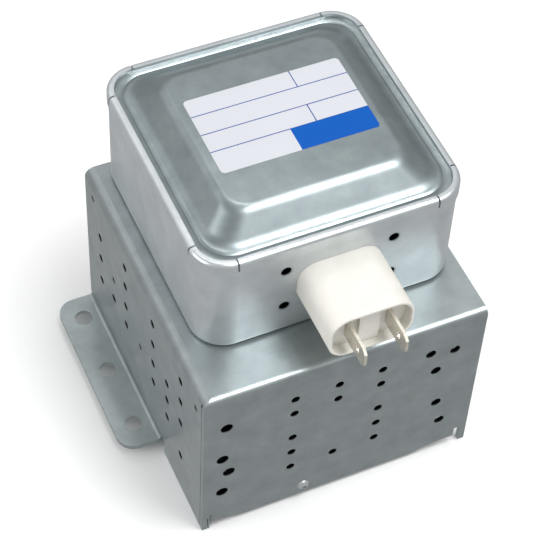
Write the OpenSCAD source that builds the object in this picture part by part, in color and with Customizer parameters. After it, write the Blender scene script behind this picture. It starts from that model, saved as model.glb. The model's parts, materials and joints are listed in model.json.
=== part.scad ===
// Magnetron of a microwave oven: folded yoke, crimped filter box, magnets, vaned anode, antenna.
// Origin on the anode's axis, on the underside of the yoke plate. Front wall towards -Y, +Z up.

/* [Yoke frame] */
// width across the front wall
yoke_w = 80; // [79:0.5:90]
// depth from the front wall to the open back edge
yoke_d = 85; // [84:0.5:95]
// top face above the mounting plane
yoke_h = 57; // [55:0.5:64]
// thickness of the folded sheet
sheet = 1.4; // [1.2:0.1:1.6]
// outer radius of the bend along the front edge
front_bend = 2; // [1.8:0.1:3]
// outer radius of the bend along the left edge
side_bend = 2.8; // [1.8:0.1:4]
// open butt seam between front wall and left wall
seam = 0.25; // [0.1:0.05:0.4]
// plain bottom edge of the front wall above the mounting plane
foot_lift = 1.4; // [0.8:0.1:2]
// reach of the corner legs and of the left wall below the mounting plane
leg_drop = 1.7; // [0.5:0.1:2.5]
// width of the left leg of the front wall
left_leg_w = 2.2; // [2:0.1:4]
// width of the right leg of the front wall
right_leg_w = 1.8; // [1.5:0.1:4]
// slot beside the left leg
left_slot_w = 0.6; // [0.4:0.1:1.5]
// slot beside the right leg
right_slot_w = 2; // [1:0.1:3]
// upper end of the slots beside the legs
slot_top = 4.8; // [3:0.1:6]
// width of the fine slit in the left leg
slit_w = 0.35; // [0.2:0.05:0.5]
// left end of the front wall's tongue, from the axis
tongue_left = 28; // [20:0.5:32]
// right end of the front wall's tongue, from the axis
tongue_right = 24; // [18:0.5:32]
// run of the slopes at the tongue's ends
tongue_slope = 4; // [2:0.5:5]

/* [Mounting ear] */
// reach of the ear from the left wall
ear_reach = 11.5; // [10.8:0.1:14]
// length of the ear
ear_len = 55; // [52:0.5:55]
// middle of the ear and of its row of holes, behind the axis
ear_y = 14.4; // [12:0.1:14.9]
// underside of the ear above the mounting plane
ear_z = 1.4; // [0:0.1:2]
// concave radius between wall and ear
ear_bend = 1; // [0.8:0.1:2.5]
// radius of the ear's outer corners
ear_corner = 5; // [2:0.5:7]
// diameter of the ear's screw holes
ear_hole_d = 5.2; // [4:0.1:5.4]
// pitch of the ear's screw holes
ear_hole_pitch = 20; // [15:0.5:21]
// distance of the screw holes from the left wall
ear_hole_in = 5.3; // [5.2:0.1:7]
// width of the relief in front of the ear
ear_relief = 2; // [1:0.1:3]

/* [Perforation] */
// small holes of the front wall
front_hole_d = 2.4; // [1.5:0.1:3]
// holes at the front wall's left end
left_hole_d = 3.4; // [2:0.1:4]
// holes at the front wall's right end
right_hole_d = 3; // [2:0.1:4]
// holes of the left wall
side_hole_d = 2.6; // [1.5:0.1:3.2]
// depth of the left wall's dents
dent_depth = 0.45; // [0.2:0.05:0.7]

/* [Yoke plate] */
// thickness of the plate
plate_t = 1.6; // [1.2:0.1:2]
// hole of the plate for the output
plate_hole_d = 17.2; // [16.4:0.1:18.4]
// height of the plate's riveted lip
plate_lip_h = 6.5; // [5.6:0.1:9]
// inner radius of the lip's bend
plate_bend = 0.6; // [0.3:0.1:1]
// rivet's place along the front wall
rivet_x = -10.1; // [-18:0.1:10]
// rivet's height
rivet_z = 3.6; // [3.5:0.1:4]
// rivet's shank
rivet_d = 2; // [1.5:0.1:2.4]
// rivet's head
rivet_head_d = 3.5; // [3:0.1:3.8]
// height of the rivet's head
rivet_head_h = 1.1; // [1:0.1:1.5]
// hollow in the rivet's head
rivet_hole_d = 1.1; // [0.8:0.1:1.4]
// depth of the hollow
rivet_hole_h = 0.8; // [0.4:0.1:0.9]

/* [Filter box] */
// width over the rim
box_w = 73.4; // [71:0.1:75]
// depth over the rim
box_d = 73; // [71:0.1:75]
// rim above the yoke's top
box_h = 33.2; // [31:0.1:40]
// middle of the box to the right of the axis
box_x = 1.9; // [-1:0.1:2]
// middle of the box behind the axis
box_y = 8.1; // [6:0.1:8.5]
// corner radius of the rim
box_r = 9.5; // [8.5:0.1:11]
// thickness of the drawn sheet
box_t = 0.8; // [0.6:0.05:0.9]
// height of the proud band under the rim
band_h = 4.2; // [3.2:0.1:6]
// how far the band stands proud of the wall
band_out = 0.4; // [0.3:0.05:0.6]
// width of the lip crimped over the lid
lip_w = 2; // [1.6:0.1:2.6]
// outer radius of the rim's fold
rim_r = 1.2; // [1:0.1:1.5]
// outer radius at the foot
foot_r = 1.6; // [1.2:0.1:2.5]
// width of the slits between the crimped segments
rim_slit_w = 0.5; // [0.3:0.1:0.8]
// depth of the slits
rim_slit_h = 2.8; // [2:0.1:4]
// distance of the staked collars from the box's middle
collar_in = 27; // [25:0.5:29]
// outer diameter of the staked collars
collar_d = 4.4; // [3.6:0.1:5]

/* [Filter lid] */
// thickness of the lid
lid_t = 0.6; // [0.4:0.05:0.8]
// plateau above the rim
lid_rise = 4.9; // [3:0.1:7]
// distance of the plateau's edge from the rim
lid_run = 12.7; // [11:0.1:14]
// flat of the lid beside the crimped lip, from the rim
lid_flat = 3.2; // [2.8:0.1:4]
// corner radius of the lid's pressing
lid_corner = 6; // [5.5:0.1:8]
// share of the lid's slope that each of its two bends takes
lid_soft = 0.28; // [0.2:0.02:0.5]
// label's length
label_w = 43.6; // [30:0.1:44]
// label's width
label_d = 26.3; // [20:0.1:40]
// label's middle to the right of the box's middle
label_x = 0.25; // [0:0.05:0.9]
// label's middle behind the box's middle
label_y = 1; // [0:0.1:4]
// label's thickness
label_t = 0.1; // [0.05:0.05:0.2]
// label's corner radius
label_r = 1.2; // [0.5:0.1:3]

/* [Capacitor] */
// middle of the capacitor to the right of the axis
cap_x = 2.5; // [0:0.1:4]
// middle of the capacitor above the yoke's top
cap_z = 16.8; // [15:0.1:18]
// width of the sleeve
sleeve_w = 23.2; // [22:0.1:25]
// height of the sleeve
sleeve_h = 14.4; // [13:0.1:15]
// corner radius of the sleeve
sleeve_r = 5.6; // [4:0.1:6.2]
// reach of the sleeve from the box's wall
sleeve_out = 19.5; // [14:0.5:24]
// wall around the sleeve's mouth
sleeve_wall = 0.9; // [0.8:0.1:1.6]
// radius of the lips round the sleeve's mouth
mouth_lip = 0.35; // [0.2:0.05:0.35]
// depth of the sleeve's mouth
mouth_d = 3; // [2:0.1:4]
// height of the bar between the blades in the mouth
mouth_bar_h = 1.3; // [0.8:0.1:1.8]
// width of the terminal blades
blade_w = 6.35; // [6:0.05:6.6]
// thickness of the terminal blades
blade_t = 0.8; // [0.7:0.05:1]
// pitch of the terminal blades
blade_pitch = 11.2; // [10:0.1:12]
// reach of the blades from the sleeve's mouth
blade_out = 7.9; // [7:0.1:12]
// hole in the blades
blade_hole_d = 2; // [1:0.1:2.2]
// width of the blades' shanks inside the block
shank_w = 4; // [3:0.1:5]
// spacing of the eyelets along the wall
eyelet_dx = 29.6; // [29:0.1:32]
// spacing of the eyelets up the wall
eyelet_dz = 13.7; // [12:0.1:15]
// middle of the eyelets above the capacitor's middle
eyelet_up = 0.4; // [0:0.1:0.6]
// bore of the eyelets
eyelet_d = 2.9; // [2.4:0.1:3]
// wall of the eyelets
eyelet_wall = 0.35; // [0.25:0.05:0.5]
// thickness of the capacitor's flange
flange_t = 1; // [0.8:0.1:1.4]
// length of the capacitor's case inside the box
case_len = 10; // [8:0.5:11]
// distance of the choke coils' axes from the capacitor's middle
choke_x = 15; // [14.5:0.5:18]
// length of the winding
choke_len = 24; // [20:0.5:28]
// mean radius of the winding
choke_r = 4; // [3.5:0.1:4.4]
// radius of the winding's wire
choke_wire = 0.7; // [0.5:0.05:0.8]
// turns of the winding
choke_turns = 11; // [8:1:12]

/* [Magnets and anode] */
// outer diameter of the magnets
magnet_od = 55; // [52:0.5:57]
// bore of the magnets
magnet_id = 22; // [19:0.5:26]
// thickness of the magnets
magnet_t = 13.2; // [12.4:0.1:13.6]
// outer diameter of the anode shell
anode_od = 40; // [39:0.5:42]
// wall of the anode shell
anode_wall = 2; // [1.6:0.1:2.4]
// number of vanes
vane_n = 10; // [8:2:12]
// thickness of the vanes
vane_t = 1.8; // [1.4:0.1:2]
// height of the vanes
vane_h = 9.5; // [9:0.1:10]
// radius of the circle of the vanes' tips
vane_tip = 4.6; // [4.4:0.1:5]
// height of the strap rings
strap_h = 1.2; // [0.8:0.1:1.6]
// radial width of the strap rings
strap_w = 0.8; // [0.6:0.1:0.9]
// inner radius of the inner strap ring
strap_r = 6.2; // [6:0.1:6.6]
// hole of the pole pieces
pole_hole_d = 9.8; // [9:0.1:10.4]
// thickness of the pole pieces
pole_t = 1.7; // [1.4:0.1:2]
// wall of the seal cups
cup_t = 0.5; // [0.4:0.05:0.7]
// outer radius of the seal cups' tubes
cup_r = 7.5; // [7.2:0.1:8]
// number the fins' spacing is worked out for
fin_n = 6; // [6:1:6]
// thickness of the fins
fin_t = 0.6; // [0.4:0.05:0.8]
// height of the fins' collars and folded edges
fin_collar_h = 2.6; // [1.5:0.1:2.8]
// distance of the outer fins from the anode's ends
fin_margin = 2; // [1:0.1:2.2]
// fins' edges inside the open sides of the yoke
fin_inset = 2; // [1:0.1:4]

/* [Cathode] */
// radius of the filament's winding
filament_r = 1.9; // [1.8:0.05:2.2]
// radius of the filament's wire
filament_wire = 0.32; // [0.2:0.02:0.36]
// turns of the filament
filament_turns = 8; // [6:1:10]
// radius of the end hats
hat_r = 3.9; // [3.6:0.1:4.1]
// thickness of the end hats
hat_t = 1.4; // [1:0.1:1.6]
// radius of the cathode leads
lead_r = 0.75; // [0.6:0.05:0.9]
// distance of the leads from the axis in the stem
lead_x = 3.2; // [3:0.1:3.2]
// height of the stem ceramic
stem_h = 7.5; // [6:0.5:8.5]
// end of the input cup above the box's floor
stem_z = 2.2; // [1.5:0.1:3]

/* [Antenna] */
// length of the antenna ceramic
ceramic_h = 11.5; // [9:0.5:14]
// bore of the antenna ceramic
ceramic_id = 10.5; // [8:0.5:12]
// end of the output cup below the mounting plane
output_z = 4; // [3.6:0.1:6]
// tip of the antenna cap below the mounting plane
antenna_tip = 29; // [27.5:0.5:34]
// edge radius of the antenna cap
cap_edge_r = 3; // [1.5:0.1:4]
// how far the antenna cap stands proud of the ceramic
cap_out = 0.25; // [0.15:0.05:0.4]
// outer radius of the exhaust tube
tube_r = 3; // [2.5:0.1:3.5]
// wall of the exhaust tube
tube_wall = 0.8; // [0.5:0.1:1]
// length of the exhaust tube from its seal disc
tube_len = 9.4; // [8.5:0.1:10]
// open length of the exhaust tube above its pinched end
tube_bore = 6; // [5:0.1:6.5]
// radius of the antenna lead
antenna_lead_r = 1; // [0.8:0.1:1.2]
// place of the antenna lead on its vane
antenna_lead_x = 10; // [9.6:0.1:10.4]
// outer radius of the mesh gasket
gasket_r = 14.5; // [13:0.1:18]
// thickness of the mesh gasket
gasket_h = 4.4; // [3:0.1:6]

/* [Hidden] */
$fn = 48;
fit = 0.05;
past = 1;

// hole centres of the front wall, across and up
front_columns = [-14.5, -2, 10.4];
front_rows = [46.4, 40.1, 29.1, 22.2, 15.2];
left_holes = [[-33.6, 44], [-34.5, 30], [-32.6, 23.2], [-34.4, 14.5]];
right_holes = [[24.4, 45.9], [31.7, 44.3], [26.8, 37.4], [28.6, 21.8], [30.6, 12.4]];
// hole centres of the left wall, back and up
side_holes = [[-26.9, 47.7], [-26.9, 38.7], [-26.9, 29.1], [-26.9, 13.6],
    [-17.4, 34.3], [-17.4, 26.9], [-17.4, 19],
    [-7.4, 48.2], [-7.4, 39.3], [-7.4, 30.7], [-7.4, 22.3],
    [12.7, 48.5], [12.7, 40.5], [12.7, 31.7], [12.7, 23.3],
    [22.3, 23.9], [31.9, 39.7], [31.9, 30.7], [31.9, 21]];
side_dents = [[2.5, 25.7], [22.3, 31.9], [-36.8, 48.9], [36.9, 50.7]];

// outer faces of the yoke
left = -yoke_w / 2;
front = -yoke_d / 2;
ear_top = ear_z + sheet;
ear_y0 = ear_y - ear_len / 2;
ear_y1 = ear_y + ear_len / 2;

// levels of the magnetic circuit
under_top = yoke_h - sheet;
anode_z0 = plate_t + magnet_t + cup_t;
anode_z1 = under_top - magnet_t - cup_t;
anode_mid = (anode_z0 + anode_z1) / 2;
anode_half = (anode_z1 - anode_z0) / 2;
anode_ir = anode_od / 2 - anode_wall;
strap_step = 0.6;
strap_pitch = strap_w + 0.7;
strap_side = 0.35;
pole_face = vane_h / 2 + 0.85;
pole_slope_r = 9.5;
fin_pitch = (2 * anode_half - 2 * fin_margin - fin_t) / (fin_n - 1);

// faces of the filter box and of the capacitor
floor_z = yoke_h;
rim_z = yoke_h + box_h;
wall_y = box_y - box_d / 2 + band_out;
flange_y = wall_y + box_t;
block_y = flange_y + flange_t;
mouth_y = wall_y - sleeve_out;
case_y = block_y + 1.2;
shank_end = case_y + case_len + 3;
cap_up = yoke_h + cap_z;
lead_y = case_y + case_len + 1.6;
eyelet_od = eyelet_d + 2 * eyelet_wall;

// levels of the cathode and of the antenna
hat_low = anode_mid - vane_h / 2 - hat_t + 0.2;
hat_high = anode_mid + vane_h / 2 + 0.4;
cup_top = floor_z + box_t + stem_z;
stem_top = cup_top + stem_h;
post_h = 4;
antenna_face = -output_z - ceramic_h;
seal_t = 0.6;
cap_t = 0.5;
cap_r = cup_r + cap_out;
pinch_z = antenna_face - seal_t - tube_bore;
holder_r = plate_hole_d / 2 + 0.9;

steel = [0.72, 0.74, 0.74];
bright = [0.8, 0.81, 0.82];
copper = [0.8, 0.5, 0.36];
white = [0.93, 0.92, 0.88];
dark = [0.25, 0.25, 0.27];

// rounded rectangle about the origin
module rounded(w, d, r) {
    square([w - 2 * r, d], center = true);
    square([w, d - 2 * r], center = true);
    for (x = [-1, 1], y = [-1, 1]) translate([x * (w / 2 - r), y * (d / 2 - r)]) circle(r);
}

// quadrant of a ring in the first quadrant
module quadrant(outer, inner) {
    intersection() {
        difference() {
            circle(outer);
            circle(inner);
        }
        square(outer + past);
    }
}

// extrude a section drawn in Y and Z along X
module along_x(x0, x1) {
    translate([x0, 0, 0]) rotate([90, 0, 90]) linear_extrude(x1 - x0) children();
}

// extrude a section drawn in X and Z along Y
module along_y(y0, y1) {
    translate([0, y1, 0]) rotate([90, 0, 0]) linear_extrude(y1 - y0) children();
}

// carry a section round a rounded rectangle, its x measured from the corners' centres
module around(w, d, r) {
    for (k = [0:3]) rotate(90 * k) {
        a = k % 2 == 0 ? w : d;
        b = k % 2 == 0 ? d : w;
        translate([a / 2 - r, b / 2 - r, 0]) {
            rotate_extrude(angle = 90) children();
            rotate([90, 0, 0]) linear_extrude(b - 2 * r) children();
        }
    }
}

// round bar from one point to the next, with ball joints
module bar(points, r) {
    for (i = [0:len(points) - 2]) {
        step = points[i + 1] - points[i];
        run = norm(step);
        translate(points[i]) rotate([0, acos(step.z / run), atan2(step.y, step.x)]) cylinder(r = r, h = run);
    }
    for (i = [1:1:len(points) - 2]) translate(points[i]) sphere(r + fit);
}

// wire carried along a path, its section turned by a fixed direction
function unit(v) = v / norm(v);
function tangent(path, i) = unit(path[min(i + 1, len(path) - 1)] - path[max(i - 1, 0)]);
function wire_ring(path, i, r, up, n) =
    let (t = tangent(path, i), u = unit(cross(t, up)), v = cross(t, u))
    [for (k = [0:n - 1]) path[i] + r * (cos(360 * k / n) * u + sin(360 * k / n) * v)];

module wire(path, r, up, n) {
    m = len(path);
    points = [for (i = [0:m - 1]) each wire_ring(path, i, r, up, n)];
    sides = [for (i = [0:m - 2], k = [0:n - 1])
        [i * n + k, i * n + (k + 1) % n, (i + 1) * n + (k + 1) % n, (i + 1) * n + k]];
    ends = [[for (k = [n - 1:-1:0]) k], [for (k = [0:n - 1]) (m - 1) * n + k]];
    polyhedron(points, concat(sides, ends), convexity = 10);
}

// plain bottom edge, tongue, slots and legs of the front wall
module front_outline() {
    right = -left;
    top = yoke_h - front_bend;
    slot0 = left + left_leg_w;
    slot1 = right - right_leg_w;
    difference() {
        polygon([[left, -leg_drop], [slot0, -leg_drop], [slot0, slot_top],
            [slot0 + left_slot_w, slot_top], [slot0 + left_slot_w, foot_lift],
            [-tongue_left - tongue_slope, foot_lift], [-tongue_left, 0], [tongue_right, 0],
            [tongue_right + tongue_slope, foot_lift], [slot1 - right_slot_w, foot_lift],
            [slot1 - right_slot_w, slot_top], [slot1, slot_top], [slot1, -leg_drop],
            [right, -leg_drop], [right, top], [left, top]]);
        translate([left + sheet, -leg_drop - past]) square([slit_w, slot_top + past]);
    }
}

module side_outline() {
    y0 = front + sheet + seam;
    top = yoke_h - side_bend;
    bend_top = ear_top + ear_bend;
    polygon([[y0, -leg_drop], [ear_y0 - ear_relief, -leg_drop], [ear_y0 - ear_relief, bend_top],
        [-front, bend_top], [-front, top], [y0, top]]);
}

module ear_outline() {
    x0 = left - ear_reach;
    flat = ear_reach - ear_bend;
    translate([x0 + ear_corner, ear_y0]) square([flat - ear_corner, ear_len]);
    translate([x0, ear_y0 + ear_corner]) square([flat, ear_len - 2 * ear_corner]);
    for (y = [ear_y0 + ear_corner, ear_y1 - ear_corner]) translate([x0 + ear_corner, y]) circle(ear_corner);
}

module front_hole(x, z, d) {
    translate([x, front - past, z]) rotate([-90, 0, 0]) cylinder(d = d, h = sheet + 2 * past);
}

module side_hole(y, z, d) {
    translate([left - past, y, z]) rotate([0, 90, 0]) cylinder(d = d, h = sheet + 2 * past);
}

module collar_places() {
    for (x = [-1, 1], y = [-1, 1]) translate([box_x + x * collar_in, box_y + y * collar_in, 0]) children();
}

module eyelet_places() {
    for (x = [-1, 1], z = [-1, 1])
        translate([cap_x + x * eyelet_dx / 2, 0, cap_up + eyelet_up + z * eyelet_dz / 2]) rotate([90, 0, 0]) children();
}

// section across the yoke, filled, its left upper edge rounded like the bend
module yoke_section() {
    low = -leg_drop - past;
    translate([left, low]) square([yoke_w + past, yoke_h - side_bend - low]);
    translate([left + side_bend, low]) square([yoke_w - side_bend + past, yoke_h - low]);
    translate([left + side_bend, yoke_h - side_bend]) circle(side_bend);
}

// folded sheet: top, front wall, left wall and ear in one piece
module yoke_frame() color(steel) difference() {
    union() {
        translate([left + side_bend, front + front_bend, under_top])
            cube([yoke_w - side_bend, yoke_d - front_bend, sheet]);
        intersection() {
            union() {
                along_x(left, -left) translate([front + front_bend, yoke_h - front_bend])
                    mirror([1, 0]) quadrant(front_bend, front_bend - sheet);
                along_y(front, front + sheet) front_outline();
            }
            along_y(front - past, front + front_bend + past) yoke_section();
        }
        along_y(front + front_bend, -front) translate([left + side_bend, yoke_h - side_bend])
            mirror([1, 0]) quadrant(side_bend, side_bend - sheet);
        along_x(left, left + sheet) side_outline();
        along_y(ear_y0, ear_y1) translate([left - ear_bend, ear_top + ear_bend])
            mirror([0, 1]) quadrant(ear_bend + sheet, ear_bend);
        translate([0, 0, ear_z]) linear_extrude(sheet) ear_outline();
    }
    for (k = [-1:1]) translate([left - ear_hole_in, ear_y + k * ear_hole_pitch, ear_z - past])
        cylinder(d = ear_hole_d, h = sheet + 2 * past);
    for (x = front_columns, z = front_rows)
        if (x != front_columns[1] || z > 35 || z < 20) front_hole(x, z, front_hole_d);
    for (p = left_holes) front_hole(p[0], p[1], left_hole_d);
    for (p = right_holes) front_hole(p[0], p[1], right_hole_d);
    for (p = side_holes) side_hole(p[0], p[1], side_hole_d);
    for (p = side_dents) translate([left - side_hole_d + dent_depth, p[0], p[1]]) sphere(side_hole_d);
    front_hole(rivet_x, rivet_z, rivet_d);
    translate([0, 0, under_top - past]) cylinder(r = cup_r + 2, h = sheet + 2 * past);
    translate([0, 0, under_top - past]) collar_places() cylinder(d = collar_d + 2 * fit, h = sheet + 2 * past);
}

// flat plate with a lip turned up behind the front wall
module yoke_plate() color(steel) difference() {
    lip_y = front + sheet;
    lip_bend = plate_bend + plate_t;
    union() {
        translate([left + sheet + fit, lip_y + lip_bend, 0])
            cube([yoke_w - sheet - fit, yoke_d - sheet - lip_bend, plate_t]);
        along_x(-tongue_left, tongue_right) {
            translate([lip_y + lip_bend, lip_bend]) mirror([1, 0]) mirror([0, 1]) quadrant(lip_bend, plate_bend);
            translate([lip_y, lip_bend]) square([plate_t, plate_lip_h - lip_bend]);
        }
    }
    translate([0, 0, -past]) cylinder(d = plate_hole_d, h = plate_t + 2 * past);
    translate([rivet_x, lip_y - past, rivet_z]) rotate([-90, 0, 0]) cylinder(d = rivet_d, h = plate_t + 2 * past);
}

// domed head with a hollow outside, shank, clinched end inside
module yoke_rivet() color(bright) translate([rivet_x, front, rivet_z]) rotate([90, 0, 0]) rotate_extrude() difference() {
    dome = (rivet_head_d * rivet_head_d / 4 + rivet_head_h * rivet_head_h) / (2 * rivet_head_h);
    union() {
        intersection() {
            translate([0, rivet_head_h - dome]) circle(dome);
            square([rivet_head_d, rivet_head_h + past]);
        }
        translate([0, -sheet - plate_t]) square([rivet_d / 2, sheet + plate_t]);
        translate([0, -sheet - plate_t - 0.7]) square([rivet_head_d / 2 - 0.3, 0.7]);
    }
    translate([0, rivet_head_h - rivet_hole_h]) square([rivet_hole_d / 2, rivet_hole_h + past]);
}

// wall with foot radius, joggled band and lip folded over the lid
module box_section() {
    wall = box_r - band_out;
    ledge = box_h - band_h;
    translate([wall - foot_r, foot_r]) mirror([0, 1]) quadrant(foot_r, foot_r - box_t);
    polygon([[wall - box_t, foot_r], [wall, foot_r], [wall, ledge - band_out], [box_r, ledge],
        [box_r, box_h - rim_r], [box_r - box_t, box_h - rim_r], [box_r - box_t, ledge], [wall - box_t, ledge]]);
    translate([box_r - rim_r, box_h - rim_r]) quadrant(rim_r, rim_r - box_t);
    translate([box_r - lip_w, box_h - box_t]) square([lip_w - rim_r, box_t]);
}

// drawn cup with four collars staked through the yoke's top
module filter_box() color(bright) difference() {
    slit_len = lip_w + past;
    union() {
        translate([box_x, box_y, floor_z]) {
            around(box_w, box_d, box_r) box_section();
            linear_extrude(box_t) rounded(box_w - 2 * band_out - 2 * foot_r,
                box_d - 2 * band_out - 2 * foot_r, box_r - band_out - foot_r);
        }
        translate([0, 0, under_top]) collar_places() {
            cylinder(d = collar_d, h = sheet + box_t / 2);
            translate([0, 0, -0.5]) cylinder(d = collar_d + 1.2, h = 0.5);
        }
    }
    translate([0, 0, under_top - past]) collar_places() cylinder(d = collar_d - 1.2, h = sheet + 3 * past);
    translate([0, 0, floor_z - past]) cylinder(r = cup_r + 2, h = box_t + 2 * past);
    translate([box_x, box_y, rim_z - rim_slit_h]) for (sx = [-1, 1], sy = [-1, 1]) {
        translate([sx * (box_w / 2 - box_r), sy * (box_d / 2 - slit_len / 2 + past), rim_slit_h / 2 + past / 2])
            cube([rim_slit_w, slit_len + past, rim_slit_h + past], center = true);
        translate([sx * (box_w / 2 - slit_len / 2 + past), sy * (box_d / 2 - box_r), rim_slit_h / 2 + past / 2])
            cube([slit_len + past, rim_slit_w, rim_slit_h + past], center = true);
    }
    along_y(wall_y - past, flange_y + past) translate([cap_x, cap_up])
        rounded(sleeve_w + 2 * fit, sleeve_h + 2 * fit, sleeve_r);
    translate([0, flange_y + past, 0]) eyelet_places() cylinder(d = eyelet_od + 2 * fit, h = box_t + 2 * past);
}

// outline of the lid at one distance from the rim
lid_steps = 6;
function lid_ring(inset, z) =
    let (w = box_w / 2 - inset, d = box_d / 2 - inset, r = max(box_r - inset, lid_corner))
    [for (k = [0:3], s = [0:lid_steps])
        let (a = 90 * (k + s / lid_steps), x = k == 0 || k == 3 ? 1 : -1, y = k < 2 ? 1 : -1)
        [box_x + x * (w - r) + r * cos(a), box_y + y * (d - r) + r * sin(a), z]];
lid_low = rim_z - box_t;
lid_ledge = rim_z - band_h;
// rise of the slope between two equal bends, from 0 to 1
function lid_slope(q, c) = q < c ? q * q / (2 * c * (1 - c)) :
    q > 1 - c ? 1 - (1 - q) * (1 - q) / (2 * c * (1 - c)) : (q - c / 2) / (1 - c);
function lid_rings(down) = [[lid_flat, lid_low - down], [lid_flat + 0.5, lid_low - 0.3 - down],
    [lid_flat + 1, lid_low - down],
    for (s = [1:8]) let (q = s / 8)
        [lid_flat + 1 + q * (lid_run - lid_flat - 1), lid_low - down + (lid_rise + box_t) * lid_slope(q, lid_soft)]];
lid_path = concat([for (i = [10:-1:0]) lid_rings(lid_t)[i]],
    [[box_t + lid_t, lid_low - lid_t], [box_t + lid_t, lid_ledge], [box_t, lid_ledge],
        [box_t, lid_low - rim_r + box_t], [rim_r, lid_low]],
    lid_rings(0));

// pressed lid with a skirt that stands on the box's ledge under the crimped lip
module filter_lid() color(bright) {
    n = 4 * (lid_steps + 1);
    m = len(lid_path);
    points = [for (p = lid_path) each lid_ring(p[0], p[1])];
    sides = [for (i = [0:m - 2], k = [0:n - 1])
        [i * n + k, (i + 1) * n + k, (i + 1) * n + (k + 1) % n, i * n + (k + 1) % n]];
    ends = [[for (k = [0:n - 1]) k], [for (k = [n - 1:-1:0]) (m - 1) * n + k]];
    polyhedron(points, concat(sides, ends), convexity = 6);
}

module lid_label() color([0.95, 0.95, 0.96])
    translate([box_x + label_x, box_y + label_y, rim_z + lid_rise]) linear_extrude(label_t)
        rounded(label_w, label_d, label_r);

// plate behind the box's wall, its eyelets set flush with the wall outside
module capacitor_flange() color(steel) difference() {
    union() {
        along_y(flange_y, block_y) translate([cap_x, cap_up + eyelet_up]) rounded(eyelet_dx + 7, eyelet_dz + 7, 3);
        translate([0, flange_y + flange_t / 2, 0]) eyelet_places()
            cylinder(d = eyelet_od, h = flange_t / 2 + box_t);
    }
    along_y(flange_y - past, block_y + past) translate([cap_x, cap_up])
        rounded(sleeve_w + 2 * fit, sleeve_h + 2 * fit, sleeve_r);
    translate([0, block_y + past, 0]) eyelet_places() cylinder(d = eyelet_d, h = flange_t + box_t + 2 * past);
}

module shank_places() {
    for (x = [-1, 1]) translate([cap_x + x * blade_pitch / 2, cap_up]) children();
}

// insulating block with a recessed mouth and a bar between the blades
// what the rounded lips leave free of the mouth's square edge
module lip_section() {
    difference() {
        translate([sleeve_r - sleeve_wall - past, -mouth_lip]) square([sleeve_wall + 2 * past, mouth_lip + past]);
        for (x = [mouth_lip, sleeve_wall - mouth_lip]) translate([sleeve_r - x, -mouth_lip]) circle(mouth_lip);
        translate([sleeve_r - sleeve_wall + mouth_lip, -2 * mouth_lip])
            square([sleeve_wall - 2 * mouth_lip, 2 * mouth_lip]);
    }
}

module capacitor_sleeve() color(white) difference() {
    union() {
        along_y(mouth_y, block_y) translate([cap_x, cap_up]) rounded(sleeve_w, sleeve_h, sleeve_r);
        along_y(block_y, case_y) translate([cap_x, cap_up]) rounded(sleeve_w + 3, sleeve_h + 3, sleeve_r);
    }
    along_y(mouth_y - past, mouth_y + mouth_d) translate([cap_x, cap_up]) difference() {
        rounded(sleeve_w - 2 * sleeve_wall, sleeve_h - 2 * sleeve_wall, sleeve_r - sleeve_wall);
        square([blade_pitch / 2, sleeve_h], center = true);
    }
    along_y(mouth_y - past, mouth_y + mouth_d - mouth_bar_h) translate([cap_x, cap_up])
        square([blade_pitch / 2 + past, sleeve_h - 2 * sleeve_wall], center = true);
    along_y(mouth_y, case_y + past) shank_places()
        square([blade_t + 2 * fit, shank_w + 2 * fit], center = true);
    translate([cap_x, mouth_y, cap_up]) rotate([90, 0, 0]) around(sleeve_w, sleeve_h, sleeve_r) lip_section();
}

module capacitor_case() color([0.85, 0.6, 0.3]) difference() {
    along_y(case_y, case_y + case_len) translate([cap_x, cap_up]) rounded(sleeve_w + 1.4, sleeve_h + 1.6, sleeve_r);
    along_y(case_y - past, case_y + case_len + past) shank_places()
        square([blade_t + 2 * fit, shank_w + 2 * fit], center = true);
}

// quick-connect blade, shouldered on the mouth's floor, with a shank to the choke coil
module terminal_blade(side) color(bright) difference() {
    x = cap_x + side * blade_pitch / 2;
    tip = mouth_y - blade_out;
    seat = mouth_y + mouth_d;
    half = blade_w / 2;
    along_x(x - blade_t / 2, x + blade_t / 2) translate([0, cap_up]) polygon([
        [tip, -half + 1.2], [tip + 1.6, -half], [seat, -half], [seat, -shank_w / 2], [shank_end, -shank_w / 2],
        [shank_end, shank_w / 2], [seat, shank_w / 2], [seat, half], [tip + 1.6, half], [tip, half - 1.2]]);
    translate([x - past, tip + 4, cap_up]) rotate([0, 90, 0]) cylinder(d = blade_hole_d, h = 2 * past);
}

module terminal_blade_left() terminal_blade(-1);
module terminal_blade_right() terminal_blade(1);

// winding with one lead on the blade's shank and one on the stem's post
choke_y = lead_y + 3;
function choke_path(side) =
    let (bx = cap_x + side * (blade_pitch / 2 + blade_t / 2 + choke_wire), cx = cap_x + side * choke_x,
        tx = side * lead_x, px = 1 + choke_wire, pz = stem_top + 2.8)
    concat([[bx, lead_y, cap_up - 1.6], [bx, lead_y, cap_up + 1.2],
        [bx + side * 1.2, lead_y + 0.3, cap_up + choke_r - 1], [cx - side * 2.5, choke_y - 1, cap_up + choke_r]],
        [for (s = [0:12 * choke_turns + 6]) let (a = side * 30 * s)
            [cx + choke_r * sin(a), choke_y + choke_len * s / (12 * choke_turns), cap_up + choke_r * cos(a)]],
        [[cx - side * 2.5, choke_y + choke_len + 1, cap_up - choke_r],
        [tx + side * 4, px + 3, pz], [tx + side * 2, px, pz], [tx - side * 1.4, px, pz]]);

module choke_coil_left() color(copper) wire(choke_path(-1), choke_wire, [0, 1, 0], 8);
module choke_coil_right() color(copper) wire(choke_path(1), choke_wire, [0, 1, 0], 8);

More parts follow.
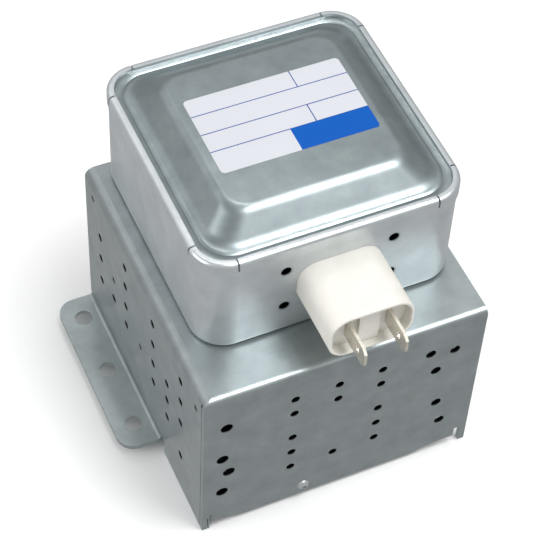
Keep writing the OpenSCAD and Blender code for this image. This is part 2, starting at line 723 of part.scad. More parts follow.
module ferrite_core(side) color(dark)
    translate([cap_x + side * choke_x, choke_y - 1.5, cap_up]) rotate([-90, 0, 0])
        cylinder(r = choke_r - choke_wire - 5 * fit, h = choke_len + 3);
module ferrite_core_left() ferrite_core(-1);
module ferrite_core_right() ferrite_core(1);

// insulator on the input cup, with a bore for each lead
module stem_ceramic() color(white) difference() {
    rotate_extrude() polygon([[0, cup_top], [cup_r, cup_top], [cup_r, cup_top + 1.5], [cup_r - 0.7, cup_top + 2],
        [cup_r - 0.7, stem_top - 2], [cup_r, stem_top - 1.5], [cup_r, stem_top], [0, stem_top]]);
    for (x = [-lead_x, lead_x]) translate([x, 0, cup_top - past]) cylinder(r = lead_r, h = stem_h + 2 * past);
}

// two posts brazed on the leads' ends
module stem_terminals() color(bright) for (x = [-lead_x, lead_x]) translate([x, 0, stem_top]) difference() {
    union() {
        cylinder(r = 2.2, h = 0.8);
        cylinder(r = 1, h = post_h);
    }
    translate([0, 0, -past]) cylinder(r = lead_r, h = past + 0.8);
}

module cathode_lead_center() color(dark)
    bar([[0, 0, hat_low + hat_t / 2], [0, 0, anode_z1 + 8], [-lead_x, 0, anode_z1 + 13],
        [-lead_x, 0, stem_top + 0.8]], lead_r);
module cathode_lead_side() color(dark)
    translate([lead_x, 0, hat_high + hat_t]) cylinder(r = lead_r, h = stem_top + 0.8 - hat_high - hat_t);

// wound heater on the bosses of the end hats
filament_low = hat_low + hat_t + filament_wire + 2 * fit;
filament_high = hat_high - filament_wire - 2 * fit;
module filament() color(dark) wire([for (s = [0:10 * filament_turns])
    [filament_r * cos(36 * s), filament_r * sin(36 * s),
        filament_low + (filament_high - filament_low) * s / (10 * filament_turns)]],
    filament_wire, [0, 0, 1], 8);

hat_boss = filament_r - filament_wire - 3 * fit;
module end_hat_upper() color(dark) translate([0, 0, hat_high]) difference() {
    union() {
        cylinder(r = hat_r, h = hat_t);
        translate([0, 0, -1.4]) cylinder(r = hat_boss, h = 1.4);
    }
    translate([0, 0, -2 * past]) cylinder(r = lead_r + 0.3, h = hat_t + 3 * past);
}
module end_hat_lower() color(dark) translate([0, 0, hat_low]) difference() {
    union() {
        cylinder(r = hat_r - 0.3, h = hat_t);
        translate([0, 0, hat_t]) cylinder(r = hat_boss, h = 1.4);
    }
    translate([0, 0, hat_t / 2]) cylinder(r = lead_r, h = hat_t + 2 * past);
}

module anode_shell() color(copper) translate([0, 0, anode_z0]) difference() {
    cylinder(d = anode_od, h = 2 * anode_half, $fn = 96);
    translate([0, 0, -past]) cylinder(r = anode_ir, h = 2 * anode_half + 2 * past, $fn = 96);
}

// notch for one strap ring, deeper where the ring passes free
module strap_notch(ring, deep) {
    depth = strap_h + (deep ? strap_step : 0);
    for (s = [0, 1]) mirror([0, 0, s]) translate([strap_r - strap_side + ring * strap_pitch, -vane_t, vane_h / 2 - depth])
        cube([strap_pitch, 2 * vane_t, depth + past]);
}

// vanes from the shell's wall to the tip circle, every second one tied by the same strap ring
module anode_vanes() color(copper) translate([0, 0, anode_mid]) for (i = [0:vane_n - 1])
    rotate(360 * i / vane_n) difference() {
        intersection() {
            translate([vane_tip, -vane_t / 2, -vane_h / 2]) cube([anode_ir, vane_t, vane_h]);
            cylinder(r = anode_ir, h = 2 * vane_h, center = true, $fn = 96);
        }
        strap_notch(0, i % 2 == 1);
        strap_notch(1, i % 2 == 0);
    }

module strap_rings() color(copper) translate([0, 0, anode_mid]) for (s = [0, 1], ring = [0, 1])
    mirror([0, 0, s]) rotate_extrude()
        translate([strap_r + ring * strap_pitch, vane_h / 2 - strap_h]) square([strap_w, strap_h]);

// funnel from the shell's end down to the vanes
module pole_piece() rotate_extrude($fn = 96) {
    rise = anode_half - pole_t - pole_face;
    polygon([[pole_hole_d / 2, pole_face], [pole_slope_r, pole_face], [pole_slope_r + rise, pole_face + rise],
        [anode_ir, pole_face + rise], [anode_ir, anode_half], [pole_slope_r + rise - 0.7, anode_half],
        [pole_slope_r - 0.7, pole_face + pole_t], [pole_hole_d / 2, pole_face + pole_t]]);
}
module pole_piece_upper() color(steel) translate([0, 0, anode_mid]) pole_piece();
module pole_piece_lower() color(steel) difference() {
    translate([0, 0, anode_mid]) mirror([0, 0, 1]) pole_piece();
    translate([antenna_lead_x, 0, anode_z0]) cylinder(r = antenna_lead_r + 0.8, h = anode_half);
}

// flange clamped between magnet and anode, with a tube through the magnet
module seal_cup(reach) rotate_extrude($fn = 96)
    polygon([[cup_r - cup_t, 0], [anode_od / 2 + 1.5, 0], [anode_od / 2 + 1.5, cup_t], [cup_r, cup_t],
        [cup_r, reach], [cup_r - cup_t, reach]]);
module input_seal_cup() color(steel) translate([0, 0, anode_z1]) seal_cup(cup_top - anode_z1);
module output_seal_cup() color(steel) translate([0, 0, anode_z0]) mirror([0, 0, 1]) seal_cup(anode_z0 + output_z);

module magnet() difference() {
    cylinder(d = magnet_od, h = magnet_t, $fn = 96);
    translate([0, 0, -past]) cylinder(d = magnet_id, h = magnet_t + 2 * past);
}
module magnet_upper() color(dark) translate([0, 0, under_top - magnet_t]) magnet();
module magnet_lower() color(dark) translate([0, 0, plate_t]) magnet();

// sheet with a collar on the anode and edges folded up against the front and left wall
module cooling_fin(i) color(bright) translate([0, 0, anode_z0 + fin_margin + i * fin_pitch]) {
    x0 = left + sheet;
    y0 = front + sheet;
    difference() {
        union() {
            translate([x0, y0, 0]) cube([-left - fin_inset - x0, -front - fin_inset - y0, fin_t]);
            translate([x0 + 3, y0, 0]) cube([-left - fin_inset - x0 - 3, fin_t, fin_collar_h]);
            translate([x0, y0 + 3, 0]) cube([fin_t, -front - fin_inset - y0 - 3, fin_collar_h]);
            cylinder(r = anode_od / 2 + fin_t, h = fin_collar_h, $fn = 96);
        }
        translate([0, 0, -past]) cylinder(d = anode_od, h = fin_collar_h + 2 * past, $fn = 96);
    }
}
module cooling_fin_1() cooling_fin(0);
module cooling_fin_2() cooling_fin(1);
module cooling_fin_3() cooling_fin(2);
module cooling_fin_4() cooling_fin(3);
module cooling_fin_5() cooling_fin(4);
module cooling_fin_6() cooling_fin(5);

// rod from one vane through the lower pole piece to the pinched tube
module antenna_lead() color(copper)
    bar([[antenna_lead_x, 0, anode_mid - vane_h / 2], [antenna_lead_x, 0, anode_z0 + 3.9],
        [0, 0, anode_z0 - 0.8], [0, 0, pinch_z]], antenna_lead_r);

module antenna_ceramic() color(white) translate([0, 0, antenna_face]) difference() {
    cylinder(r = cup_r, h = ceramic_h);
    translate([0, 0, -past]) cylinder(d = ceramic_id, h = ceramic_h + 2 * past);
}

// seal disc on the ceramic and tube pinched flat at its end
module exhaust_tube() color(copper) translate([0, 0, antenna_face]) difference() {
    length = seal_t + tube_len;
    union() {
        translate([0, 0, -seal_t]) cylinder(r = cap_r - cap_t, h = seal_t);
        translate([0, 0, -length]) cylinder(r = tube_r, h = length);
    }
    translate([0, 0, -seal_t - tube_bore])
        cylinder(r = tube_r - tube_wall, h = seal_t + tube_bore + past);
    for (s = [0, 1]) mirror([s, 0, 0]) translate([0.5, -2 * tube_r, -length - past]) rotate([0, 32, 0])
        cube([4 * tube_r, 4 * tube_r, 4 * tube_r]);
}

// half section of a closed cap, from its mouth at zero down to its end
module cap_half(r, reach, edge) {
    translate([0, edge - reach]) square([r, reach - edge]);
    translate([0, -reach]) square([r - edge, edge]);
    translate([r - edge, edge - reach]) circle(edge);
}
module antenna_cap() color(bright) translate([0, 0, antenna_face]) rotate_extrude() difference() {
    reach = antenna_face + antenna_tip;
    cap_half(cap_r, reach, cap_edge_r);
    intersection() {
        union() {
            cap_half(cap_r - cap_t, reach - cap_t, cap_edge_r - cap_t);
            square([cap_r - cap_t, past]);
        }
        translate([0, -reach]) square([cap_r, reach + past]);
    }
}

// ring on the output cup that holds the gasket against the plate
module gasket_holder() color(steel) rotate_extrude()
    polygon([[cup_r, 0], [holder_r, 0], [holder_r, -0.6], [cup_r + 0.6, -0.6], [cup_r + 0.6, 0.4 - output_z],
        [cup_r, 0.4 - output_z]]);

module mesh_gasket() color(bright) rotate_extrude()
    translate([(holder_r + gasket_r) / 2, -gasket_h / 2]) rounded(gasket_r - holder_r, gasket_h, 1.1);

yoke_frame();
yoke_plate();
yoke_rivet();
filter_box();
filter_lid();
lid_label();
capacitor_flange();
capacitor_sleeve();
capacitor_case();
terminal_blade_left();
terminal_blade_right();
choke_coil_left();
choke_coil_right();
ferrite_core_left();
ferrite_core_right();
stem_ceramic();
stem_terminals();
cathode_lead_center();
cathode_lead_side();
filament();
end_hat_upper();
end_hat_lower();
anode_shell();
anode_vanes();
strap_rings();
pole_piece_upper();
pole_piece_lower();
input_seal_cup();
output_seal_cup();
magnet_upper();
magnet_lower();
cooling_fin_1();
cooling_fin_2();
cooling_fin_3();
cooling_fin_4();
cooling_fin_5();
cooling_fin_6();
antenna_lead();
antenna_ceramic();
exhaust_tube();
antenna_cap();
gasket_holder();
mesh_gasket();
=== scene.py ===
import json
import math
import bpy
import bmesh
from mathutils import Matrix, Vector


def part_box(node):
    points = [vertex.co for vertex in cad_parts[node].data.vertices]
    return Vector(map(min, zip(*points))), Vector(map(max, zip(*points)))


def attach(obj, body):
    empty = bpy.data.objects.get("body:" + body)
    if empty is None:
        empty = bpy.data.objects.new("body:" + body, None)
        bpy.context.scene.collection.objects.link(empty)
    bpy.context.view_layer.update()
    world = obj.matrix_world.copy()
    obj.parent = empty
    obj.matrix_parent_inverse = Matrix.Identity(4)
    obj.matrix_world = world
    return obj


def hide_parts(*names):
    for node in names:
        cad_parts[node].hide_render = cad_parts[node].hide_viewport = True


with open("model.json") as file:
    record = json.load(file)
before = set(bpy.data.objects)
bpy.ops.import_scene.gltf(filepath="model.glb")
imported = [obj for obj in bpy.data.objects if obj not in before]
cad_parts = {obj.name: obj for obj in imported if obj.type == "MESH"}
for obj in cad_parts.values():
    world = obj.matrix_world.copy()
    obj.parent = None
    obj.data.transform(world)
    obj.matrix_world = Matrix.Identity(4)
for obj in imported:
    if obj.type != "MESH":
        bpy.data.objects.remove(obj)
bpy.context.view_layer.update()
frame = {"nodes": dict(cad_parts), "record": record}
nodes = frame["nodes"]
mm = 0.001


def linear(hexText):
    parts = [int(hexText[i:i + 2], 16) / 255 for i in (1, 3, 5)]
    return [c / 12.92 if c <= 0.04045 else ((c + 0.055) / 1.055) ** 2.4 for c in parts] + [1.0]


def addNode(tree, kind, settings, sockets):
    node = tree.nodes.new(kind)
    for name, value in settings.items():
        setattr(node, name, value)
    for name, value in sockets.items():
        if isinstance(value, bpy.types.NodeSocket):
            tree.links.new(value, node.inputs[name])
        else:
            node.inputs[name].default_value = value
    return node


def startMaterial(name):
    material = bpy.data.materials.new(name)
    material.use_nodes = True
    tree = material.node_tree
    shader = tree.nodes["Principled BSDF"]
    place = addNode(tree, "ShaderNodeTexCoord", {}, {}).outputs["Object"]
    return material, tree, shader, place


def perMetre(sizeMm):
    return 1 / (sizeMm * mm)


# cloudy colour, uneven polish and fine relief, each from its own real size
def weather(tree, shader, place, look):
    noise = {"cloudDetail": 5.0, "cloudRoughness": 0.6, "grainDetail": 3.0, "grainRoughness": 0.55,
             "grainLow": 0.3, "grainHigh": 0.7}
    cloud = addNode(tree, "ShaderNodeTexNoise", {}, {
        "Vector": place, "Scale": perMetre(look["cloudMm"]),
        "Detail": noise["cloudDetail"], "Roughness": noise["cloudRoughness"]})
    shade = addNode(tree, "ShaderNodeMix", {"data_type": "RGBA"}, {
        0: cloud.outputs["Fac"], 6: linear(look["dark"]), 7: linear(look["light"])})
    stretch = addNode(tree, "ShaderNodeMapping", {}, {
        "Vector": place, "Scale": [perMetre(length) for length in look["grainMm"]]})
    grain = addNode(tree, "ShaderNodeTexNoise", {}, {
        "Vector": stretch.outputs["Vector"], "Scale": 1.0,
        "Detail": noise["grainDetail"], "Roughness": noise["grainRoughness"]})
    polish = addNode(tree, "ShaderNodeMapRange", {}, {
        "Value": grain.outputs["Fac"], "From Min": noise["grainLow"], "From Max": noise["grainHigh"],
        "To Min": look["smooth"], "To Max": look["rough"]})
    relief = addNode(tree, "ShaderNodeBump", {}, {
        "Height": grain.outputs["Fac"], "Strength": look["relief"],
        "Distance": look["reliefMm"] * mm})
    tree.links.new(shade.outputs[2], shader.inputs["Base Color"])
    tree.links.new(polish.outputs["Result"], shader.inputs["Roughness"])
    tree.links.new(relief.outputs["Normal"], shader.inputs["Normal"])
    shader.inputs["Metallic"].default_value = look["metallic"]
    return shade.outputs[2]


def mottled(name, look):
    material, tree, shader, place = startMaterial(name)
    weather(tree, shader, place, look)
    return material


# 1 where a coordinate lies between two values, 0 elsewhere
def between(tree, value, start, end):
    above = addNode(tree, "ShaderNodeMath", {"operation": "GREATER_THAN"}, {0: value, 1: start})
    below = addNode(tree, "ShaderNodeMath", {"operation": "LESS_THAN"}, {0: value, 1: end})
    both = addNode(tree, "ShaderNodeMath", {"operation": "MULTIPLY"}, {
        0: above.outputs[0], 1: below.outputs[0]})
    return both.outputs[0]


# hot-dip galvanised sheet, rolled then folded: dull satin grey with cloudy zinc, and painted shade,
# near black, down the walls of the holes punched through the two walls
def galvanisedSheet():
    look = {"dark": "#868e90", "light": "#b4bdbe", "cloudMm": 7.0, "grainMm": (14.0, 0.8, 0.8),
            "smooth": 0.28, "rough": 0.35, "relief": 0.008, "reliefMm": 0.05, "metallic": 0.8,
            "holeShade": "#131415", "sheetMm": 1.4, "skinMm": 0.22, "widthMm": 80.0, "marginMm": 4.0}
    material, tree, shader, place = startMaterial("galvanised steel")
    shade = weather(tree, shader, place, look)
    axes = addNode(tree, "ShaderNodeSeparateXYZ", {}, {"Vector": place}).outputs
    low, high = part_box("yoke_frame")
    front, left = low[1], high[0] - look["widthMm"] * mm
    skin, sheet = look["skinMm"] * mm, look["sheetMm"] * mm
    margin = look["marginMm"] * mm  # keeps the painted hole shade off the bends and the outer edges
    level = between(tree, axes["Z"], margin, high[2] - margin)
    walls = ((axes["Y"], front, axes["X"], left, high[0]),
             (axes["X"], left, axes["Y"], front, high[1]))
    punched = []
    for across, face, along, start, end in walls:
        deep = between(tree, across, face + skin, face + sheet)
        inside = between(tree, along, start + margin, end - margin)
        wall = addNode(tree, "ShaderNodeMath", {"operation": "MULTIPLY"}, {0: deep, 1: inside})
        punched.append(wall.outputs[0])
    either = addNode(tree, "ShaderNodeMath", {"operation": "MAXIMUM"}, {
        0: punched[0], 1: punched[1]})
    holeShadeMask = addNode(tree, "ShaderNodeMath", {"operation": "MULTIPLY"}, {
        0: either.outputs[0], 1: level})
    # painted shade: the sheet's depth past the zinc skin, seen inside the holes, is coloured near
    # black
    colour = addNode(tree, "ShaderNodeMix", {"data_type": "RGBA"}, {
        0: holeShadeMask.outputs[0], 6: shade, 7: linear(look["holeShade"])})
    tree.links.new(colour.outputs[2], shader.inputs["Base Color"])
    return material


# tinned deep-drawn steel: lighter and smoother than the yoke, with soft drawing clouds
tinnedSteel = mottled("tinned steel", {
    "dark": "#b4b9bc", "light": "#dee4e7", "cloudMm": 8.0, "grainMm": (0.5, 0.5, 6.0),
    "smooth": 0.285, "rough": 0.295, "relief": 0.004, "reliefMm": 0.004, "metallic": 0.75})

# tin plate of the lid: pressed from duller sheet than the box, satin with soft grey clouds
pressedTinplate = mottled("pressed tinplate", {
    "dark": "#7a8487", "light": "#a3adaf", "cloudMm": 6.0, "grainMm": (20.0, 5.0, 5.0),
    "smooth": 0.32, "rough": 0.34, "relief": 0.003, "reliefMm": 0.005, "metallic": 0.88})

# aluminium rivet: bright, slightly dented by setting
rivetAluminium = mottled("aluminium rivet", {
    "dark": "#c4c8ca", "light": "#e6eaec", "cloudMm": 1.6, "grainMm": (0.4, 0.4, 0.4),
    "smooth": 0.25, "rough": 0.4, "relief": 0.15, "reliefMm": 0.05, "metallic": 0.9})

# glass-filled polyester moulding: warm off-white, faintly speckled, satin
mouldedPolyester = mottled("moulded polyester", {
    "dark": "#cfcdc5", "light": "#e1dfd8", "cloudMm": 5.0, "grainMm": (0.5, 0.5, 0.5),
    "smooth": 0.42, "rough": 0.58, "relief": 0.1, "reliefMm": 0.04, "metallic": 0.0})

# cast epoxy of the capacitor: brown, glossy in patches
castEpoxy = mottled("cast epoxy", {
    "dark": "#6a3f1a", "light": "#8a5526", "cloudMm": 6.0, "grainMm": (0.8, 0.8, 0.8),
    "smooth": 0.25, "rough": 0.45, "relief": 0.12, "reliefMm": 0.05, "metallic": 0.0})

# tin-plated brass tab: pale, a little warm, finely grained
tinnedBrass = mottled("tinned brass", {
    "dark": "#c6c1b5", "light": "#e8e3d7", "cloudMm": 2.5, "grainMm": (0.35, 0.35, 0.35),
    "smooth": 0.24, "rough": 0.4, "relief": 0.06, "reliefMm": 0.03, "metallic": 0.75})

# oxygen-free copper, turned and brazed: warm with darker heat clouds
brazedCopper = mottled("brazed copper", {
    "dark": "#9c5a3a", "light": "#d08a63", "cloudMm": 5.0, "grainMm": (0.6, 0.6, 0.6),
    "smooth": 0.25, "rough": 0.42, "relief": 0.1, "reliefMm": 0.04, "metallic": 1.0})

# sintered ferrite, ground on its faces: near black and dry
sinteredFerrite = mottled("sintered ferrite", {
    "dark": "#232426", "light": "#3b3c3f", "cloudMm": 4.0, "grainMm": (0.5, 0.5, 0.5),
    "smooth": 0.55, "rough": 0.75, "relief": 0.3, "reliefMm": 0.08, "metallic": 0.0})

# fired alumina: chalky white with a faint warm tone
firedAlumina = mottled("fired alumina", {
    "dark": "#dcd8d0", "light": "#f1eee8", "cloudMm": 4.0, "grainMm": (0.4, 0.4, 0.4),
    "smooth": 0.45, "rough": 0.62, "relief": 0.12, "reliefMm": 0.04, "metallic": 0.0})

# molybdenum and carburised tungsten: dark grey drawn metal
drawnMolybdenum = mottled("drawn molybdenum", {
    "dark": "#4d4f52", "light": "#77797c", "cloudMm": 2.0, "grainMm": (0.3, 0.3, 0.3),
    "smooth": 0.3, "rough": 0.5, "relief": 0.12, "reliefMm": 0.03, "metallic": 1.0})

# low-carbon steel pressing: plain grey, lightly oiled
pressedSteel = mottled("pressed steel", {
    "dark": "#7d8083", "light": "#a3a6a8", "cloudMm": 6.0, "grainMm": (0.6, 0.6, 0.6),
    "smooth": 0.3, "rough": 0.46, "relief": 0.1, "reliefMm": 0.04, "metallic": 1.0})

# mill-finish aluminium fin stock: pale and soft with a fine haze
millAluminium = mottled("mill aluminium", {
    "dark": "#94989b", "light": "#b6babd", "cloudMm": 8.0, "grainMm": (0.5, 0.5, 0.5),
    "smooth": 0.28, "rough": 0.42, "relief": 0.08, "reliefMm": 0.03, "metallic": 1.0})

# deep-drawn stainless cap: bright with a faint draw haze
drawnStainless = mottled("drawn stainless", {
    "dark": "#b0b2b3", "light": "#d2d4d5", "cloudMm": 4.0, "grainMm": (0.5, 0.5, 0.5),
    "smooth": 0.18, "rough": 0.3, "relief": 0.06, "reliefMm": 0.03, "metallic": 1.0})
print("metals, ceramics and plastics mixed")


# steel of the flange: as the box where it lies flush outside, with painted shade going dark down its
# bores
def stakedSteel():
    look = {"dark": "#b4bcbe", "light": "#ccd4d6", "cloudMm": 6.0, "grainMm": (0.5, 0.5, 0.5),
            "smooth": 0.28, "rough": 0.4, "relief": 0.03, "reliefMm": 0.04, "metallic": 0.8,
            "boreShade": "#0b0b0b", "boreShadeFromMm": 0.1, "boreShadeToMm": 0.35}
    material, tree, shader, place = startMaterial("staked steel")
    shade = weather(tree, shader, place, look)
    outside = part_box("capacitor_flange")[0][1]
    deep = addNode(tree, "ShaderNodeSeparateXYZ", {}, {"Vector": place}).outputs["Y"]
    # painted shade: darkening to near black from 0.1 mm to 0.35 mm down the bores
    depth = addNode(tree, "ShaderNodeMapRange", {}, {
        "Value": deep, "From Min": outside + look["boreShadeFromMm"] * mm,
        "From Max": outside + look["boreShadeToMm"] * mm})
    boreShaded = addNode(tree, "ShaderNodeMix", {"data_type": "RGBA"}, {
        0: depth.outputs["Result"], 6: shade, 7: linear(look["boreShade"])})
    tree.links.new(boreShaded.outputs[2], shader.inputs["Base Color"])
    return material


# knitted wire ring: crossing strands with painted shade in the gaps between them, drawn coarser than
# real so that they show
def knittedWire():
    look = {"dark": "#2f2e2c", "light": "#b7b3a8", "strandMm": 0.9, "metallic": 0.8, "rough": 0.45,
            "turns": (0.8, -0.8), "wavesPerScale": 3.2, "wander": 3.0, "wanderDetail": 2.0,
            "wanderScale": 1.5, "relief": 0.7, "reliefMm": 0.3}
    material, tree, shader, place = startMaterial("knitted wire")
    heights = []
    for turn in look["turns"]:
        tilt = addNode(tree, "ShaderNodeMapping", {}, {
            "Vector": place, "Rotation": (turn, turn, turn)})
        strand = addNode(tree, "ShaderNodeTexWave", {}, {
            "Vector": tilt.outputs["Vector"],
            "Scale": perMetre(look["strandMm"]) / look["wavesPerScale"],
            "Distortion": look["wander"], "Detail": look["wanderDetail"],
            "Detail Scale": look["wanderScale"]})
        heights.append(strand.outputs["Fac"])
    knit = addNode(tree, "ShaderNodeMath", {"operation": "MAXIMUM"}, {0: heights[0], 1: heights[1]})
    # painted shade: the low gaps between the strands are coloured near black
    shade = addNode(tree, "ShaderNodeMix", {"data_type": "RGBA"}, {
        0: knit.outputs[0], 6: linear(look["dark"]), 7: linear(look["light"])})
    relief = addNode(tree, "ShaderNodeBump", {}, {
        "Height": knit.outputs[0], "Strength": look["relief"], "Distance": look["reliefMm"] * mm})
    tree.links.new(shade.outputs[2], shader.inputs["Base Color"])
    tree.links.new(relief.outputs["Normal"], shader.inputs["Normal"])
    shader.inputs["Metallic"].default_value = look["metallic"]
    shader.inputs["Roughness"].default_value = look["rough"]
    return material


# printed polyester film: white and satin, ruled in thin blue lines, with one solid blue field
def printedFilm():
    look = {"film": "#c2c4ca", "shadeFilm": "#bcbec4", "rule": "#1c4088", "field": "#0050a4",
            "ruleMm": 0.28, "rows": (0.225, 0.475, 0.71), "dividers": (0.68, 0.67), "fieldFrom": 0.5,
            "toneMm": 12.0, "toneDetail": 2.0, "rough": 0.45, "specular": 0.15}
    material, tree, shader, place = startMaterial("printed film")
    low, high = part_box("lid_label")
    axes = addNode(tree, "ShaderNodeSeparateXYZ", {}, {"Vector": place}).outputs
    half = look["ruleMm"] * mm / 2

    def patch(x0, x1, y0, y1):
        across = between(tree, axes["X"], x0, x1)
        along = between(tree, axes["Y"], y0, y1)
        both = addNode(tree, "ShaderNodeMath", {"operation": "MULTIPLY"}, {0: across, 1: along})
        return both.outputs[0]

    left, right = low[0], high[0]
    back, front = high[1], low[1]
    levels = [back + (front - back) * row for row in (0.0,) + look["rows"]]
    upper, lower = (left + (right - left) * divider for divider in look["dividers"])
    rules = [patch(left, right, y - half, y + half) for y in levels[1:]]
    rules += [patch(upper - half, upper + half, levels[1], levels[0]),
              patch(lower - half, lower + half, levels[3], levels[2])]
    ruled = rules[0]
    for rule in rules[1:]:
        joined = addNode(tree, "ShaderNodeMath", {"operation": "MAXIMUM"}, {0: ruled, 1: rule})
        ruled = joined.outputs[0]
    field = patch(left + (right - left) * look["fieldFrom"], right, front, levels[3])
    tone = addNode(tree, "ShaderNodeTexNoise", {}, {
        "Vector": place, "Scale": perMetre(look["toneMm"]), "Detail": look["toneDetail"]})
    film = addNode(tree, "ShaderNodeMix", {"data_type": "RGBA"}, {
        0: tone.outputs["Fac"], 6: linear(look["shadeFilm"]), 7: linear(look["film"])})
    lined = addNode(tree, "ShaderNodeMix", {"data_type": "RGBA"}, {
        0: ruled, 6: film.outputs[2], 7: linear(look["rule"])})
    filled = addNode(tree, "ShaderNodeMix", {"data_type": "RGBA"}, {
        0: field, 6: lined.outputs[2], 7: linear(look["field"])})
    tree.links.new(filled.outputs[2], shader.inputs["Base Color"])
    shader.inputs["Roughness"].default_value = look["rough"]
    shader.inputs["Specular IOR Level"].default_value = look["specular"]
    return material


finishes = {
    "galvanised_steel": galvanisedSheet(), "tinned_steel": tinnedSteel,
    "rivet_aluminium": rivetAluminium, "label_paper": printedFilm(),
    "sleeve_plastic": mouldedPolyester, "capacitor_resin": castEpoxy,
    "terminal_metal": tinnedBrass, "copper": brazedCopper, "ferrite": sinteredFerrite,
    "alumina": firedAlumina, "cathode_metal": drawnMolybdenum, "plain_steel": pressedSteel,
    "fin_aluminium": millAluminium, "stainless_steel": drawnStainless, "wire_mesh": knittedWire()}
for entry in frame["record"]["subparts"]:
    piece = nodes[entry["node"]]
    piece.data.materials.clear()
    piece.data.materials.append(finishes[entry["material_slot"]])
nodes["capacitor_flange"].data.materials[0] = stakedSteel()
print("finishes set on", len(nodes), "nodes")


# pressed lid: skirt, flat, fine groove, long soft slope and plateau
def pressedLid():
    size = {"cornerMm": 8.7, "skirtMm": 3.4, "chamferMm": 0.4, "flatMm": 2.4, "grooveMm": 0.5,
            "grooveDepthMm": 0.3, "runMm": 12.7, "bend": 0.28, "sheetMm": 0.6, "cornerSteps": 14,
            "slopeSteps": 26, "sharpDegrees": 40}
    low, high = (Vector(corner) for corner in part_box("filter_lid"))
    middle = (low + high) / 2
    half = (high - low) / 2
    flatZ = low.z + size["skirtMm"] * mm
    bm = bmesh.new()
    bmesh.ops.create_grid(bm, x_segments=1, y_segments=1, size=1.0)
    bmesh.ops.scale(bm, vec=(half.x, half.y, 1), verts=bm.verts)
    bmesh.ops.bevel(bm, geom=list(bm.verts), offset=size["cornerMm"] * mm, affect="VERTICES",
                    segments=size["cornerSteps"], profile=0.5, material=-1, offset_type="OFFSET")
    bmesh.ops.translate(bm, vec=(middle.x, middle.y, low.z), verts=bm.verts)
    face = bm.faces[:][0]
    rise = high.z - flatZ
    flat = size["flatMm"]
    groove = size["grooveMm"]
    steps = [(0, flatZ - size["chamferMm"] * mm), (size["chamferMm"], flatZ), (flat, flatZ),
             (flat + groove, flatZ - size["grooveDepthMm"] * mm), (flat + 2 * groove, flatZ)]
    start = flat + 2 * groove
    bend = size["bend"]
    for i in range(1, size["slopeSteps"] + 1):
        q = i / size["slopeSteps"]
        share = (q - bend / 2) / (1 - bend)
        if q < bend:
            share = q * q / (2 * bend * (1 - bend))
        elif q > 1 - bend:
            share = 1 - (1 - q) ** 2 / (2 * bend * (1 - bend))
        steps.append((start + q * (size["runMm"] - start), flatZ + rise * share))
    inset = 0
    level = low.z
    aboutMiddle = Matrix.Translation(-middle)
    for stepInset, stepZ in steps:
        grown = bmesh.ops.extrude_face_region(bm, geom=[face])
        bm.faces.remove(face)
        face = [item for item in grown["geom"] if isinstance(item, bmesh.types.BMFace)][0]
        factors = [(side - stepInset * mm) / (side - inset * mm) for side in (half.x, half.y)]
        bmesh.ops.scale(bm, vec=(factors[0], factors[1], 1), space=aboutMiddle, verts=face.verts)
        bmesh.ops.translate(bm, vec=(0, 0, stepZ - level), verts=face.verts)
        inset, level = stepInset, stepZ
    bmesh.ops.recalc_face_normals(bm, faces=bm.faces)
    bmesh.ops.solidify(bm, geom=list(bm.faces), thickness=size["sheetMm"] * mm)
    bmesh.ops.recalc_face_normals(bm, faces=bm.faces)
    for edge in bm.edges:
        edge.smooth = edge.calc_face_angle(0) < math.radians(size["sharpDegrees"])
    for part in bm.faces:
        part.smooth = True
    mesh = bpy.data.meshes.new("pressedLid")
    bm.to_mesh(mesh)
    bm.free()
    lid = bpy.data.objects.new("pressedLid", mesh)
    bpy.context.collection.objects.link(lid)
    mesh.materials.append(pressedTinplate)
    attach(lid, "root")
    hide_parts("filter_lid")


pressedLid()
print("lid pressed")


# pale table top at the level of the legs, open where the antenna goes into the waveguide
def tableTop():
    size = {"radius": 4.0, "openingMm": 17.0, "levelMm": -1.72, "segments": 64}
    look = {"dark": "#f5f5f5", "light": "#f8f8f8", "toneMm": 300.0, "toneDetail": 1.0,
            "rough": 0.9, "specular": 0.0}
    bm = bmesh.new()
    bmesh.ops.create_circle(bm, cap_ends=False, segments=size["segments"],
                            radius=size["openingMm"] * mm)
    inner = bm.edges[:]
    bmesh.ops.create_circle(bm, cap_ends=False, segments=size["segments"], radius=size["radius"])
    outer = [edge for edge in bm.edges if edge not in inner]
    bmesh.ops.bridge_loops(bm, edges=inner + outer)
    bmesh.ops.translate(bm, vec=(0, 0, size["levelMm"] * mm), verts=bm.verts)
    bmesh.ops.recalc_face_normals(bm, faces=bm.faces)
    mesh = bpy.data.meshes.new("tableTop")
    bm.to_mesh(mesh)
    bm.free()
    table = bpy.data.objects.new("tableTop", mesh)
    bpy.context.collection.objects.link(table)
    material, tree, shader, place = startMaterial("white laminate")
    tone = addNode(tree, "ShaderNodeTexNoise", {}, {
        "Vector": place, "Scale": perMetre(look["toneMm"]), "Detail": look["toneDetail"]})
    shade = addNode(tree, "ShaderNodeMix", {"data_type": "RGBA"}, {
        0: tone.outputs["Fac"], 6: linear(look["dark"]), 7: linear(look["light"])})
    tree.links.new(shade.outputs[2], shader.inputs["Base Color"])
    shader.inputs["Roughness"].default_value = look["rough"]
    shader.inputs["Specular IOR Level"].default_value = look["specular"]
    mesh.materials.append(material)
    table.visible_glossy = False  # the steel mirrors the grey room and not the white ground


tableTop()


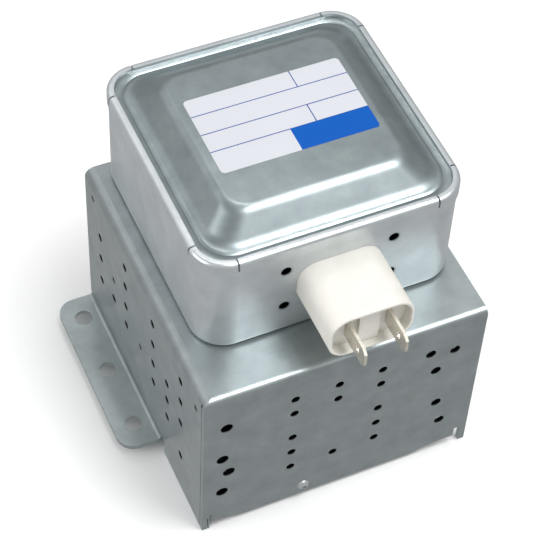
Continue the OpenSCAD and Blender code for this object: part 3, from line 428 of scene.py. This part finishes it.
# soft boxes, each aimed at the middle of the object: place and size in metres, power in watts
studio = {
    "aim": (0, 0, 0.045), "room": (1, 1, 1, 1), "roomStrength": 0.43,
    "lamps": {
        "overhead": ((0.3, -0.25, 1.0), (0.5, 0.5), 7.0),
        "stripAbove": ((0.31, 0.23, 1.0), (0.8, 0.06), 1.9),
        "stripBeside": ((-0.05, 0.62, 0.86), (0.06, 0.6), 0.22),
        "frontPanel": ((0.3, -0.62, 0.82), (0.9, 0.6), 1.1),
        "leftPanel": ((-0.8, 0.0, 0.5), (0.6, 0.6), 3.6),
        "backPanel": ((0.3, 0.7, 0.92), (0.9, 0.6), 0.3),
        "backLeft": ((-0.45, 0.6, 0.75), (0.6, 0.5), 0.6)}}


def softBox(name, place, sizeM, watts):
    lamp = bpy.data.lights.new(name, "AREA")
    lamp.shape = "RECTANGLE"
    lamp.size, lamp.size_y = sizeM
    lamp.energy = watts
    box = bpy.data.objects.new(name, lamp)
    bpy.context.collection.objects.link(box)
    box.location = place
    aim = Vector(studio["aim"]) - box.location
    box.rotation_euler = aim.to_track_quat("-Z", "Y").to_euler()


for name, (place, sizeM, watts) in studio["lamps"].items():
    softBox(name, place, sizeM, watts)
world = bpy.data.worlds.new("studio")
bpy.context.scene.world = world
world.use_nodes = True
background = world.node_tree.nodes["Background"]
background.inputs["Color"].default_value = studio["room"]
background.inputs["Strength"].default_value = studio["roomStrength"]
bpy.context.scene.view_settings.view_transform = "Standard"
print("table and lights set")

# camera as solved from the photograph's own edges
shot = {"lensMm": 127.28, "sensorMm": 36.0, "nearest": 0.01, "eyeMm": (-149.4, -295.1, 454.7),
        "right": (0.9137, -0.4042, 0.0388), "up": (0.2939, 0.7244, 0.6234)}
view = bpy.data.cameras.new("view")
view.lens = shot["lensMm"]
view.sensor_width = shot["sensorMm"]
view.clip_start = shot["nearest"]
camera = bpy.data.objects.new("view", view)
bpy.context.collection.objects.link(camera)
eye = Vector(shot["eyeMm"]) * mm
rightWay, upWay = Vector(shot["right"]), Vector(shot["up"])
turned = Matrix((rightWay, upWay, rightWay.cross(upWay))).transposed().to_4x4()
camera.matrix_world = Matrix.Translation(eye) @ turned
bpy.context.scene.camera = camera
print("camera set")
